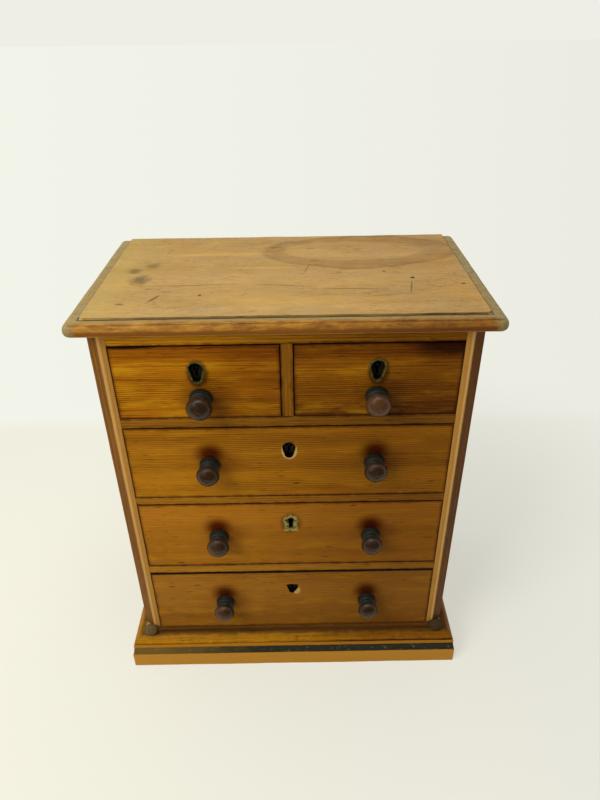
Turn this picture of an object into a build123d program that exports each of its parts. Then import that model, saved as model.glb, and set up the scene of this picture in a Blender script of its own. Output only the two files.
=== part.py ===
"""Miniature pine chest of drawers: two short drawers over three long graduated ones.

Millimetres. X runs to the viewer's right, Y to the back, Z up. The origin is on the floor,
in the middle of the box that holds the whole chest with its knobs.
"""
import os
from dataclasses import dataclass

from build123d import *

# ---- Carcase ----
carcase_width = 280.0
carcase_depth = 166.0
side_thickness = 14.5
cant_width = 9.2          # canted outer corner of each side, seen from the front
cant_depth = 6.8
arris_round = 1.0         # worn edges of the cant
back_thickness = 6.0
back_rebate = 6.0         # how far the back boards lie in each side
back_board_count = 3
back_board_gap = 0.4

# ---- Top board ----
top_thickness = 11.0
top_overhang = 10.0
field_inset = 10.75       # from the nosing's edge to the raised field
field_rise = 1.6
field_corner_radius = 4.0
nosing_corner_radius = 6.5
nosing_upper_radius = 5.5
nosing_lower_radius = 3.0

# ---- Front openings, from the bottom up ----
bottom_opening = 72.4
third_opening = 70.1
second_opening = 67.9
upper_opening = 60.3
lower_rail_thickness = 9.3
middle_rail_thickness = 8.0
upper_rail_thickness = 9.2
frieze_height = 12.3
rail_depth = 40.0
divider_width = 9.0
tenon_setback = 7.5       # the joints stop short of the front face
housing_depth = 3.0       # rails and runners let into the sides
divider_tenon = 2.5
runner_width = 14.0
centre_runner_width = 30.0
guide_height = 12.0

# ---- Bottom board and plinth ----
plinth_height = 35.0
bottom_thickness = 7.5
bottom_rebate = 2.5       # the bottom board sits this deep in the plinth
bottom_projection = 2.0   # in front of the carcase
bottom_corner_radius = 4.0
bottom_edge_radius = 2.0
mould_projection = 11.0
mould_foot_height = 25.0  # lower edge of the moulding
mould_fillet = 1.3
mould_quirk = 1.0
mould_lip = 0.4            # flat between the bottom board and the moulding
quarter_turn = 90.0        # sweep of the moulding's curve, in degrees
foot_projection = 12.6
band_foot_height = 15.8
band_thickness = 3.0
band_slope = 1.6          # the band leans out this much towards its foot
band_recess = 0.4         # behind the face of the foot
band_mitre_gap = 0.2
plinth_inner = 1.0        # the plinth runs this far under the carcase
side_slit = 1.0           # open joint between bottom board and side plinth
plinth_back_thickness = 10.0
block_size = 16.0
block_height = 24.0

# ---- Drawers ----
gap_side = 0.7
gap_below = 0.4
gap_above = 0.9
gap_behind = 4.0
drawer_front_thickness = 10.0
drawer_side_thickness = 6.0
drawer_back_thickness = 6.0
drawer_bottom_thickness = 3.0
drawer_bottom_height = 5.0   # above the drawer's lower edge
groove_depth = 3.0
side_drop = 1.2              # sides and back end below the front's top edge
front_lap = 3.0              # wood left in front of the dovetails
tail_count = 2
tail_tip_width = 18.0
tail_slope = 1 / 6
stop_width = 10.0
stop_depth = 8.0
stop_height = 3.0
stop_gap = 0.3
stop_inset = 40.0            # from the drawer's end to the middle of its stop

# ---- Knobs ----
knob_radius = 9.0
knob_reach = 19.5
knob_rim_reach = 13.6
knob_rim_radius = 2.4
knob_collar_radius = 8.1
knob_collar_length = 6.2
knob_neck_radius = 5.3
knob_neck_reach = 8.8        # middle of the neck, from the drawer's front
knob_neck_length = 1.6
knob_spigot_radius = 3.2
knob_spigot_length = 8.5
knob_glue_gap = 0.1
knob_arris = 0.9             # chamfer of the collar, and the size of the rim
knob_spacing = 128.0
knob_stray = 2.2             # the knobs of the long fronts stand this far right of the middle
long_knob_drop = 0.8         # below the middle of a long front
short_knob_drop = 42.2       # below the top edge of a short front

# ---- Locks, keyholes and escutcheons ----
keyhole_drop = 21.5          # below the top edge of every front
lock_plate_width = 34.0
lock_plate_height = 31.0
lock_plate_thickness = 1.2
lock_case_width = 26.0
lock_case_height = 27.0
lock_case_depth = 5.0
lock_wall = 1.0
lock_pin_radius = 1.0
keyway_radius = 2.4
keyway_slot_width = 2.0
keyway_height = 10.0
stud_spacing = 18.0
bolt_width = 12.0
bolt_thickness = 3.0
bolt_head_height = 7.0
bolt_tail_height = 8.0
bolt_gap = 0.2
bolt_stud_radius = 0.9
talon_radius = 3.4
bolt_throw = 4.0
mortise_gap = 0.5
escutcheon_depth = 2.4
thread_height = 18.6
thread_top_radius = 6.2
thread_foot_radius = 4.0
thread_wall = 1.1
plate_top_radius = 6.4
plate_foot_width = 12.4
plate_waist_width = 9.6
plate_height = 18.0
plate_hole_radius = 2.9
plate_slot_width = 3.6
plate_hole_height = 12.0
bare_height = 15.0
bare_top_radius = 5.2
bare_foot_radius = 3.4
ragged_hole = [(-5.4, 4.6), (-2.0, 5.6), (4.2, 5.4), (5.3, 3.0), (4.2, -1.2), (0.6, -6.4), (-2.6, -5.4)]

# ---- Places worked out from the sizes ----
front_y = -(carcase_depth - knob_reach) / 2
back_y = front_y + carcase_depth
half_width = carcase_width / 2
half_opening = half_width - side_thickness
inner_back_y = back_y - back_thickness
rail_back_y = front_y + rail_depth
tenon_front_y = front_y + tenon_setback

seat_z = plinth_height - bottom_rebate
floor_z = seat_z + bottom_thickness
lower_rail_z = floor_z + bottom_opening
third_z = lower_rail_z + lower_rail_thickness
middle_rail_z = third_z + third_opening
second_z = middle_rail_z + middle_rail_thickness
upper_rail_z = second_z + second_opening
upper_z = upper_rail_z + upper_rail_thickness
frieze_z = upper_z + upper_opening
carcase_top_z = frieze_z + frieze_height
rails = {
    "lower_rail": (lower_rail_z, third_z),
    "middle_rail": (middle_rail_z, second_z),
    "upper_rail": (upper_rail_z, upper_z),
}


@dataclass
class Drawer:
    """One drawer, told by the opening that it fills and by what its front carries."""
    name: str
    x_low: float
    x_high: float
    z_low: float
    z_high: float
    is_short: bool
    keyhole: str

    @property
    def middle(self):
        return (self.x_low + self.x_high) / 2

    @property
    def left(self):
        return self.x_low + gap_side

    @property
    def right(self):
        return self.x_high - gap_side

    @property
    def base(self):
        return self.z_low + gap_below

    @property
    def top(self):
        return self.z_high - gap_above


drawers = [
    Drawer("upper_left", -half_opening, -divider_width / 2, upper_z, frieze_z, True, "thread"),
    Drawer("upper_right", divider_width / 2, half_opening, upper_z, frieze_z, True, "thread"),
    Drawer("second", -half_opening, half_opening, second_z, upper_rail_z, False, "bare"),
    Drawer("third", -half_opening, half_opening, third_z, middle_rail_z, False, "plate"),
    Drawer("bottom", -half_opening, half_opening, floor_z, lower_rail_z, False, "ragged"),
]

front_back_y = front_y + drawer_front_thickness
drawer_back_y = inner_back_y - gap_behind
drawer_back_face_y = drawer_back_y - drawer_back_thickness
lock_plate_y = front_back_y - lock_plate_thickness
lock_case_y = lock_plate_y - lock_case_depth
bolt_y = lock_case_y + lock_wall + bolt_gap

os.makedirs("parts", exist_ok=True)


def keep(piece, name):
    """Name a finished piece and write it to its file."""
    piece.part.label = name
    export_step(piece.part, f"parts/{name}.step")


def squared(x, y, z, mode=Mode.ADD):
    """Add or cut a squared length of wood or metal, given as low and high on each axis."""
    middle = ((x[0] + x[1]) / 2, (y[0] + y[1]) / 2, (z[0] + z[1]) / 2)
    with Locations(middle):
        Box(x[1] - x[0], y[1] - y[0], z[1] - z[0], mode=mode)


# ---- Side boards: canted front corner, rebated back edge, housings for rails and runners ----
def side_outline(sign):
    """Plan of a side board; sign is -1 on the left and 1 on the right."""
    outer = sign * half_width
    inner = sign * half_opening
    return [
        (inner, front_y),
        (outer - sign * cant_width, front_y),
        (outer, front_y + cant_depth),
        (outer, back_y),
        (inner + sign * back_rebate, back_y),
        (inner + sign * back_rebate, inner_back_y),
        (inner, inner_back_y),
    ]


for name, sign in (("left_side", -1), ("right_side", 1)):
    with BuildPart() as side:
        with BuildSketch(Plane.XY.offset(floor_z)):
            with BuildLine():
                Polyline(side_outline(sign), close=True)
            make_face()
        extrude(amount=carcase_top_z - floor_z)
        cant_edges = side.edges().filter_by(Axis.Z).sort_by(Axis.Y)[1:3]
        fillet(cant_edges, radius=arris_round)
        housing_x = sorted((sign * half_opening, sign * (half_opening + housing_depth)))
        for rail_z in rails.values():
            squared(housing_x, (tenon_front_y, inner_back_y), rail_z, mode=Mode.SUBTRACT)
    keep(side, name)


# ---- Top board: nosed on three sides round a raised field, plain at the back ----
top_front_y = front_y - top_overhang
top_half = half_width + top_overhang
nosing_top_z = carcase_top_z + top_thickness - field_rise

with BuildPart() as top_board:
    with BuildSketch(Plane.XY.offset(carcase_top_z)):
        with Locations((0, (top_front_y + back_y) / 2)):
            outline = Rectangle(2 * top_half, back_y - top_front_y)
        fillet(outline.vertices().sort_by(Axis.Y)[:2], radius=nosing_corner_radius)
    extrude(amount=top_thickness - field_rise)
    upper_edges = top_board.faces().sort_by(Axis.Z)[-1].edges().sort_by(Axis.Y)[:-1]
    fillet(upper_edges, radius=nosing_upper_radius)
    lower_edges = top_board.faces().sort_by(Axis.Z)[0].edges().sort_by(Axis.Y)[:-1]
    fillet(lower_edges, radius=nosing_lower_radius)
    with BuildSketch(Plane.XY.offset(nosing_top_z)):
        with Locations((0, (top_front_y + field_inset + back_y) / 2)):
            field = Rectangle(2 * (top_half - field_inset), back_y - top_front_y - field_inset)
        fillet(field.vertices().sort_by(Axis.Y)[:2], radius=field_corner_radius)
    extrude(amount=field_rise)
keep(top_board, "top_board")


# ---- Bottom board: rounded front edge that shows above the plinth ----
with BuildPart() as bottom_board:
    with BuildSketch(Plane.XY.offset(seat_z)):
        with Locations((0, (front_y - bottom_projection + inner_back_y) / 2)):
            outline = Rectangle(carcase_width, inner_back_y - front_y + bottom_projection)
        fillet(outline.vertices().sort_by(Axis.Y)[:2], radius=bottom_corner_radius)
    extrude(amount=bottom_thickness)
    front_edges = bottom_board.faces().sort_by(Axis.Z)[-1].edges().sort_by(Axis.Y)[:3]
    fillet(front_edges, radius=bottom_edge_radius)
keep(bottom_board, "bottom_board")


# ---- Back: upright boards nailed into the rebates ----
back_half = half_opening + back_rebate
back_pitch = (2 * back_half + back_board_gap) / back_board_count

with BuildPart() as back_boards:
    with BuildSketch(Plane.XY.offset(seat_z)):
        with Locations((0, (inner_back_y + back_y) / 2)):
            with GridLocations(back_pitch, 0, back_board_count, 1):
                Rectangle(back_pitch - back_board_gap, back_thickness)
    extrude(amount=carcase_top_z - seat_z)
keep(back_boards, "back_boards")


# ---- Front rails, tenoned into the sides ----
def rail_plan():
    """Plan of a front rail: full face between the sides, tenons behind it."""
    with BuildSketch() as plan:
        with Locations((0, (front_y + rail_back_y) / 2)):
            Rectangle(2 * half_opening, rail_depth)
        with Locations((0, (tenon_front_y + rail_back_y) / 2)):
            Rectangle(2 * (half_opening + housing_depth), rail_back_y - tenon_front_y)
    return plan.sketch


def bolt_mortise(drawer):
    """Cut the pocket that a drawer's lock bolt shoots into, over the drawer."""
    half = bolt_width / 2 + mortise_gap
    squared(
        (drawer.middle - half, drawer.middle + half),
        (bolt_y - mortise_gap, bolt_y + bolt_thickness + mortise_gap),
        (drawer.z_high, drawer.top + bolt_throw + mortise_gap),
        mode=Mode.SUBTRACT,
    )


def divider_socket(z):
    """Cut the socket of the divider's tenon between two heights."""
    squared((-divider_width / 2, divider_width / 2), (tenon_front_y, rail_back_y), z, mode=Mode.SUBTRACT)


for name, (z_low, z_high) in rails.items():
    with BuildPart() as rail:
        extrude(rail_plan().moved(Location((0, 0, z_low))), amount=z_high - z_low)
        for drawer in drawers:
            if drawer.z_high == z_low:
                bolt_mortise(drawer)
        if name == "upper_rail":
            divider_socket((z_high - divider_tenon, z_high))
    keep(rail, name)

with BuildPart() as frieze_rail:
    squared((-half_opening, half_opening), (front_y, rail_back_y), (frieze_z, carcase_top_z))
    for drawer in drawers[:2]:
        bolt_mortise(drawer)
    divider_socket((frieze_z, frieze_z + divider_tenon))
keep(frieze_rail, "frieze_rail")

with BuildPart() as centre_divider:
    divider_x = (-divider_width / 2, divider_width / 2)
    squared(divider_x, (front_y, rail_back_y), (upper_z, frieze_z))
    squared(divider_x, (tenon_front_y, rail_back_y), (upper_z - divider_tenon, frieze_z + divider_tenon))
keep(centre_divider, "centre_divider")


# ---- Runners, guide and kickers behind the rails ----
behind_rails = (rail_back_y, inner_back_y)

with BuildPart() as side_runners:
    for sign in (-1, 1):
        runner_ends = (sign * (half_opening - runner_width), sign * (half_opening + housing_depth))
        for rail_z in rails.values():
            squared(sorted(runner_ends), behind_rails, rail_z)
keep(side_runners, "side_runners")

with BuildPart() as centre_runner:
    half = centre_runner_width / 2
    squared((-half, half), behind_rails, rails["upper_rail"])
keep(centre_runner, "centre_runner")

with BuildPart() as centre_guide:
    squared((-divider_width / 2, divider_width / 2), behind_rails, (upper_z, upper_z + guide_height))
keep(centre_guide, "centre_guide")

with BuildPart() as top_kickers:
    for sign in (-1, 1):
        kicker_ends = (sign * (half_opening - runner_width), sign * half_opening)
        squared(sorted(kicker_ends), behind_rails, (frieze_z, carcase_top_z))
    half = centre_runner_width / 2
    squared((-half, half), behind_rails, (frieze_z, carcase_top_z))
keep(top_kickers, "top_kickers")


# ---- Stops behind the drawer fronts ----
with BuildPart() as drawer_stops:
    stop_y = front_back_y + stop_gap
    for drawer in drawers:
        for middle in (drawer.x_low + stop_inset, drawer.x_high - stop_inset):
            stop_x = (middle - stop_width / 2, middle + stop_width / 2)
            squared(stop_x, (stop_y, stop_y + stop_depth), (drawer.z_low, drawer.z_low + stop_height))
keep(drawer_stops, "drawer_stops")


# ---- Plinth: moulded front and sides mitred at the corners, plain back ----
ovolo_top_projection = bottom_projection + mould_lip
ovolo_foot_z = mould_foot_height + mould_fillet
band_top_projection = foot_projection - band_recess - band_slope
band_back_projection = band_top_projection - band_thickness


def plinth_outline(inner_top):
    """Section of the plinth: distance out from the carcase, and height."""
    with BuildLine() as line:
        ovolo = EllipticalCenterArc(
            (ovolo_top_projection, ovolo_foot_z),
            mould_projection - mould_quirk - ovolo_top_projection,
            plinth_height - ovolo_foot_z,
            arc_size=quarter_turn,
        )
        Polyline(
            ovolo @ 0,
            (mould_projection, ovolo_foot_z),
            (mould_projection, mould_foot_height),
            (band_back_projection, mould_foot_height),
            (band_back_projection, band_foot_height),
            (foot_projection, band_foot_height),
            (foot_projection, 0),
            (-plinth_inner, 0),
            (-plinth_inner, seat_z),
            (inner_top, seat_z),
            (inner_top, plinth_height),
            ovolo @ 1,
        )
    return line.line


def band_outline():
    """Section of the dark band between the moulding and the foot of the plinth."""
    with BuildLine() as line:
        Polyline(
            (band_back_projection, mould_foot_height),
            (band_top_projection, mould_foot_height),
            (band_top_projection + band_slope, band_foot_height),
            (band_back_projection, band_foot_height),
            close=True,
        )
    return line.line


front_plane = Plane(origin=(0, front_y, 0), x_dir=(0, -1, 0), z_dir=(-1, 0, 0))
side_plane = Plane(origin=(half_width, back_y, 0), x_dir=(1, 0, 0), z_dir=(0, -1, 0))
plinth_run = half_width + foot_projection
side_run = carcase_depth + foot_projection


def mitred_front(outline, gap=0.0):
    """A length of the outline along the front, mitred at both ends."""
    with BuildPart() as length:
        with BuildSketch(front_plane):
            with BuildLine():
                add(outline)
            make_face()
        extrude(amount=plinth_run, both=True)
        for sign in (-1, 1):
            corner = Plane(origin=(sign * half_width, front_y, 0), z_dir=(-sign, -1, 0))
            split(bisect_by=corner.offset(gap / 2), keep=Keep.TOP)
    return length.part


def mitred_side(outline, sign, gap=0.0):
    """A length of the outline along one side, mitred at the front and square at the back."""
    with BuildPart() as length:
        with BuildSketch(side_plane):
            with BuildLine():
                add(outline)
            make_face()
        extrude(amount=side_run)
        corner = Plane(origin=(half_width, front_y, 0), z_dir=(1, 1, 0))
        split(bisect_by=corner.offset(gap / 2), keep=Keep.TOP)
        if sign < 0:
            mirror(about=Plane.YZ, mode=Mode.REPLACE)
    return length.part


with BuildPart() as plinth_front:
    add(mitred_front(plinth_outline(bottom_projection)))
keep(plinth_front, "plinth_front")

for name, sign in (("plinth_left", -1), ("plinth_right", 1)):
    with BuildPart() as plinth_side:
        add(mitred_side(plinth_outline(side_slit), sign))
    keep(plinth_side, name)

with BuildPart() as plinth_band:
    add(mitred_front(band_outline(), gap=band_mitre_gap))
    for sign in (-1, 1):
        add(mitred_side(band_outline(), sign, gap=band_mitre_gap))
keep(plinth_band, "plinth_band")

plinth_inner_half = half_width - plinth_inner
plinth_inner_y = front_y + plinth_inner

with BuildPart() as plinth_back:
    squared(
        (-plinth_inner_half, plinth_inner_half),
        (back_y - plinth_back_thickness, back_y),
        (0, seat_z),
    )
keep(plinth_back, "plinth_back")

with BuildPart() as glue_blocks:
    block_z = (seat_z - block_height, seat_z)
    rear_y = back_y - plinth_back_thickness
    for x in (-plinth_inner_half, -block_size / 2, plinth_inner_half - block_size):
        squared((x, x + block_size), (plinth_inner_y, plinth_inner_y + block_size), block_z)
        squared((x, x + block_size), (rear_y - block_size, rear_y), block_z)
keep(glue_blocks, "glue_blocks")


# ---- Dovetails: the tails on a drawer's sides fit the sockets in its front and back ----
def tails(x, shoulder_y, tip_y, z_low, z_high):
    """A row of dovetails from the shoulder to the tips, drawn at x in the YZ plane."""
    pitch = (z_high - z_low) / tail_count
    root_width = tail_tip_width - 2 * tail_slope * abs(tip_y - shoulder_y)
    with BuildSketch(Plane.YZ.offset(x)) as outline:
        for number in range(tail_count):
            middle = z_low + pitch * (number + 0.5)
            with BuildLine():
                Polyline(
                    (shoulder_y, middle - root_width / 2),
                    (tip_y, middle - tail_tip_width / 2),
                    (tip_y, middle + tail_tip_width / 2),
                    (shoulder_y, middle + root_width / 2),
                    close=True,
                )
            make_face()
    return outline.sketch


def front_tails(drawer, x):
    """The lapped dovetails, hidden behind the face of the front."""
    return tails(x, front_back_y, front_y + front_lap, drawer.base, drawer.top - side_drop)


def back_tails(drawer, x):
    """The through dovetails at the back, above the drawer's bottom."""
    back_z = drawer.base + drawer_bottom_height + drawer_bottom_thickness
    return tails(x, drawer_back_face_y, drawer_back_y, back_z, drawer.top - side_drop)


def groove(drawer, y):
    """The space of the drawer's bottom board between two depths, as three ranges."""
    reach = drawer_side_thickness - groove_depth
    z_low = drawer.base + drawer_bottom_height
    return (drawer.left + reach, drawer.right - reach), y, (z_low, z_low + drawer_bottom_thickness)


groove_y = (front_back_y - groove_depth, drawer_back_y)


# ---- Keyholes and escutcheons, drawn on the front's face about the keyhole's centre ----
def face_plane(drawer, y):
    """A plane that looks out of the front at the given depth, centred on the keyhole."""
    centre = (drawer.middle, y, drawer.top - keyhole_drop)
    return Plane(origin=centre, x_dir=(1, 0, 0), z_dir=(0, -1, 0))


def drop(top_radius, foot_radius, height):
    """A round top that narrows to a rounded foot."""
    with BuildSketch() as shape:
        with BuildLine():
            CenterArc((0, height / 2 - top_radius), top_radius, 0, 360)
            CenterArc((0, foot_radius - height / 2), foot_radius, 0, 360)
        make_hull()
    return shape.sketch


def keyed_plate():
    """The thick escutcheon: a round head over a flared skirt."""
    skirt_top = plate_height / 2 - plate_top_radius
    with BuildSketch() as shape:
        with Locations((0, skirt_top)):
            Circle(plate_top_radius)
        with BuildLine():
            Polyline(
                (-plate_waist_width / 2, skirt_top),
                (-plate_foot_width / 2, -plate_height / 2),
                (plate_foot_width / 2, -plate_height / 2),
                (plate_waist_width / 2, skirt_top),
                close=True,
            )
        make_face()
    return shape.sketch


def keyed_hole(radius, slot_width, height):
    """A classic keyhole: a round hole with a straight slot below."""
    with BuildSketch() as shape:
        with Locations((0, height / 2 - radius)):
            Circle(radius)
        with Locations((0, -radius / 2)):
            Rectangle(slot_width, height - radius)
    return shape.sketch


def worn_hole():
    """The hole that has lost its escutcheon and its edges."""
    with BuildSketch() as shape:
        with BuildLine():
            Polyline(*ragged_hole, close=True)
        make_face()
    return shape.sketch


def keyhole_shapes(drawer):
    """The outline of a drawer's escutcheon, if it has one, and of the hole inside it."""
    if drawer.keyhole == "thread":
        outer = drop(thread_top_radius, thread_foot_radius, thread_height)
        inner = drop(
            thread_top_radius - thread_wall,
            thread_foot_radius - thread_wall,
            thread_height - 2 * thread_wall,
        )
        return outer, inner
    if drawer.keyhole == "plate":
        return keyed_plate(), keyed_hole(plate_hole_radius, plate_slot_width, plate_hole_height)
    if drawer.keyhole == "bare":
        return None, drop(bare_top_radius, bare_foot_radius, bare_height)
    return None, worn_hole()


def pushed(shape, drawer, y_low, y_high, mode=Mode.ADD):
    """Add or cut a keyhole-centred shape between two depths of the front."""
    with BuildSketch(face_plane(drawer, y_high)) as placed:
        add(shape)
    extrude(placed.sketch, amount=y_high - y_low, dir=(0, -1, 0), mode=mode)


# ---- Knobs ----
def knob_places(drawer):
    """The centre of each knob on a drawer's front, as X and Z."""
    if drawer.is_short:
        return [(drawer.middle, drawer.top - short_knob_drop)]
    height = (drawer.base + drawer.top) / 2 - long_knob_drop
    middle = drawer.middle + knob_stray
    return [(middle + sign * knob_spacing / 2, height) for sign in (-1, 1)]


# A mushroom knob with its chamfered collar, waist and the spigot that is glued into the front
crown_edge = (knob_radius - knob_arris, knob_rim_reach + 2 * knob_arris)
crown_rise = knob_reach - crown_edge[1]
crown_radius = (crown_edge[0] ** 2 + crown_rise ** 2) / (2 * crown_rise)

with BuildPart() as turned_knob:
    with BuildSketch(Plane(origin=(0, 0, 0), x_dir=(1, 0, 0), z_dir=(0, 0, -1))):
        with BuildLine():
            stem = Polyline(
                (0, knob_reach),
                (0, -knob_spigot_length),
                (knob_spigot_radius, -knob_spigot_length),
                (knob_spigot_radius, 0),
                (knob_collar_radius, 0),
                (knob_collar_radius, knob_collar_length - knob_arris),
                (knob_collar_radius - knob_arris, knob_collar_length),
                (knob_neck_radius, knob_neck_reach - knob_neck_length / 2),
                (knob_neck_radius, knob_neck_reach + knob_neck_length / 2),
                (knob_radius - knob_arris / 2, knob_rim_reach - 2 * knob_arris),
                (knob_radius, knob_rim_reach),
            )
            rim = RadiusArc(stem @ 1, crown_edge, -knob_rim_radius)
            RadiusArc(rim @ 1, (0, knob_reach), -crown_radius)
        make_face()
    revolve(axis=Axis.Y)


# ---- Pieces of a drawer ----
def side_places(drawer):
    """Where each side board of a drawer starts in X."""
    return drawer.left, drawer.right - drawer_side_thickness


def drawer_front(drawer):
    """The front: sockets for the sides, groove, lock pocket, keyhole and knob holes."""
    escutcheon, keyhole = keyhole_shapes(drawer)
    with BuildPart() as front:
        squared((drawer.left, drawer.right), (front_y, front_back_y), (drawer.base, drawer.top))
        for x in side_places(drawer):
            extrude(front_tails(drawer, x), amount=drawer_side_thickness, dir=(1, 0, 0), mode=Mode.SUBTRACT)
        squared(*groove(drawer, (groove_y[0], front_back_y)), mode=Mode.SUBTRACT)
        for width, height, y in lock_steps():
            x = (drawer.middle - width / 2, drawer.middle + width / 2)
            squared(x, y, (drawer.top - height, drawer.top), mode=Mode.SUBTRACT)
        pushed(keyhole, drawer, front_y, lock_case_y, mode=Mode.SUBTRACT)
        if escutcheon:
            pushed(escutcheon, drawer, front_y, front_y + escutcheon_depth, mode=Mode.SUBTRACT)
        for x, z in knob_places(drawer):
            with Locations(Plane(origin=(x, front_y, z), x_dir=(1, 0, 0), z_dir=(0, -1, 0))):
                Hole(knob_spigot_radius + knob_glue_gap, depth=knob_spigot_length + knob_glue_gap)
    return front


def drawer_sides(drawer):
    """Both side boards, with tails at each end and a groove for the bottom."""
    top = drawer.top - side_drop
    back_z = drawer.base + drawer_bottom_height + drawer_bottom_thickness
    with BuildPart() as sides:
        for x in side_places(drawer):
            board_x = (x, x + drawer_side_thickness)
            squared(board_x, (front_back_y, drawer_back_face_y), (drawer.base, top))
            squared(board_x, (drawer_back_face_y, drawer_back_y), (drawer.base, back_z))
            for row in (front_tails(drawer, x), back_tails(drawer, x)):
                extrude(row, amount=drawer_side_thickness, dir=(1, 0, 0))
        squared(*groove(drawer, groove_y), mode=Mode.SUBTRACT)
    return sides


def drawer_back(drawer):
    """The back, over the bottom board, with sockets for the through dovetails."""
    back_z = drawer.base + drawer_bottom_height + drawer_bottom_thickness
    with BuildPart() as back:
        squared(
            (drawer.left, drawer.right),
            (drawer_back_face_y, drawer_back_y),
            (back_z, drawer.top - side_drop),
        )
        for x in side_places(drawer):
            extrude(back_tails(drawer, x), amount=drawer_side_thickness, dir=(1, 0, 0), mode=Mode.SUBTRACT)
    return back


def drawer_bottom(drawer):
    """The thin bottom, slid into its grooves from behind."""
    with BuildPart() as bottom:
        squared(*groove(drawer, groove_y))
    return bottom


def drawer_knobs(drawer):
    """The knobs of one drawer."""
    with BuildPart() as knobs:
        with Locations(*[(x, front_y, z) for x, z in knob_places(drawer)]):
            add(turned_knob.part)
    return knobs


def drawer_escutcheon(drawer):
    """The brass lining of a keyhole, let in flush."""
    outer, inner = keyhole_shapes(drawer)
    with BuildPart() as escutcheon:
        pushed(outer, drawer, front_y, front_y + escutcheon_depth)
        pushed(inner, drawer, front_y, front_y + escutcheon_depth, mode=Mode.SUBTRACT)
    return escutcheon


# ---- Lock: a case let into the back of the front, and the bolt that slides up out of it ----
def lock_steps():
    """Width, height and depth of the lock's plate, case and selvedge."""
    case_y = (lock_case_y, lock_plate_y)
    return (
        (lock_plate_width, lock_plate_height, (lock_plate_y, front_back_y)),
        (lock_case_width, lock_case_height, case_y),
        (lock_plate_width, lock_plate_thickness, case_y),
    )


def lock_case(drawer):
    """The plate, case and selvedge, with keyway, key pin, bolt slot and stop studs."""
    case_half = lock_case_width / 2 - lock_wall
    slot_half = bolt_width / 2 + bolt_gap
    stud_drop = bolt_head_height + bolt_tail_height + bolt_gap + bolt_stud_radius
    inside_y = (lock_case_y + lock_wall, lock_plate_y)
    with BuildPart() as case:
        for width, height, y in lock_steps():
            x = (drawer.middle - width / 2, drawer.middle + width / 2)
            squared(x, y, (drawer.top - height, drawer.top))
        squared(
            (drawer.middle - case_half, drawer.middle + case_half),
            inside_y,
            (drawer.top - lock_case_height + lock_wall, drawer.top - lock_plate_thickness),
            mode=Mode.SUBTRACT,
        )
        squared(
            (drawer.middle - slot_half, drawer.middle + slot_half),
            (bolt_y - bolt_gap, bolt_y + bolt_thickness + bolt_gap),
            (drawer.top - lock_plate_thickness, drawer.top),
            mode=Mode.SUBTRACT,
        )
        keyway = keyed_hole(keyway_radius, keyway_slot_width, keyway_height)
        pushed(keyway, drawer, lock_case_y, inside_y[0], mode=Mode.SUBTRACT)
        with BuildSketch() as pins:
            with Locations((0, keyway_height / 2 - keyway_radius)):
                Circle(lock_pin_radius)
        pushed(pins.sketch, drawer, lock_case_y, lock_plate_y)
        with BuildSketch() as studs:
            with Locations((0, keyhole_drop - stud_drop)), GridLocations(stud_spacing, 0, 2, 1):
                Circle(bolt_stud_radius)
        pushed(studs.sketch, drawer, *inside_y)
    return case


def lock_bolt(drawer):
    """The bolt: a head that fills the slot and a wide tail with the notch for the key."""
    tail_width = lock_case_width - 2 * (lock_wall + bolt_gap)
    with BuildSketch() as outline:
        with Locations((0, keyhole_drop - bolt_head_height / 2)):
            Rectangle(bolt_width, bolt_head_height)
        with Locations((0, keyhole_drop - bolt_head_height - bolt_tail_height / 2)):
            Rectangle(tail_width, bolt_tail_height)
        with Locations((0, keyhole_drop - bolt_head_height - bolt_tail_height)):
            Circle(talon_radius, mode=Mode.SUBTRACT)
    with BuildPart() as bolt:
        pushed(outline.sketch, drawer, bolt_y, bolt_y + bolt_thickness)
    return bolt


for drawer in drawers:
    keep(drawer_front(drawer), f"{drawer.name}_drawer_front")
    keep(drawer_sides(drawer), f"{drawer.name}_drawer_sides")
    keep(drawer_back(drawer), f"{drawer.name}_drawer_back")
    keep(drawer_bottom(drawer), f"{drawer.name}_drawer_bottom")
    keep(drawer_knobs(drawer), f"{drawer.name}_knobs")
    keep(lock_case(drawer), f"{drawer.name}_lock_case")
    keep(lock_bolt(drawer), f"{drawer.name}_lock_bolt")
    if drawer.keyhole in ("thread", "plate"):
        keep(drawer_escutcheon(drawer), f"{drawer.name}_escutcheon")
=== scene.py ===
import math
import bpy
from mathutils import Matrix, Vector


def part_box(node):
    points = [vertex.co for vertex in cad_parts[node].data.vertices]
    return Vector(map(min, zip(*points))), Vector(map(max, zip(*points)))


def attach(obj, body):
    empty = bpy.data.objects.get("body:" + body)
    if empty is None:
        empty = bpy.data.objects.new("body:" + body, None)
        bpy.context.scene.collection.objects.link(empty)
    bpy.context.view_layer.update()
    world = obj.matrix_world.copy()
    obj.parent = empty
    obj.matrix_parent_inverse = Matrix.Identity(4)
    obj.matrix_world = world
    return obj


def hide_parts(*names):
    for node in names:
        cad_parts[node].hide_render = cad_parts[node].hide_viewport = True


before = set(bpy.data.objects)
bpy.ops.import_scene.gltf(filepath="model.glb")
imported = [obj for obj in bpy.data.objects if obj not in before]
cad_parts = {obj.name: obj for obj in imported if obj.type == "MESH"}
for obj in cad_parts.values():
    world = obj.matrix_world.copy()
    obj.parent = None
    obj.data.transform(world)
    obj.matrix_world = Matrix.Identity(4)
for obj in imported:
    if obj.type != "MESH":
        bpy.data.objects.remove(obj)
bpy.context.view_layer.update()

from types import SimpleNamespace

import bpy
from mathutils import Matrix, Vector

bpy.ops.object.select_all(action="DESELECT")
scene = bpy.context.scene
scene.view_settings.view_transform = "Standard"


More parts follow.
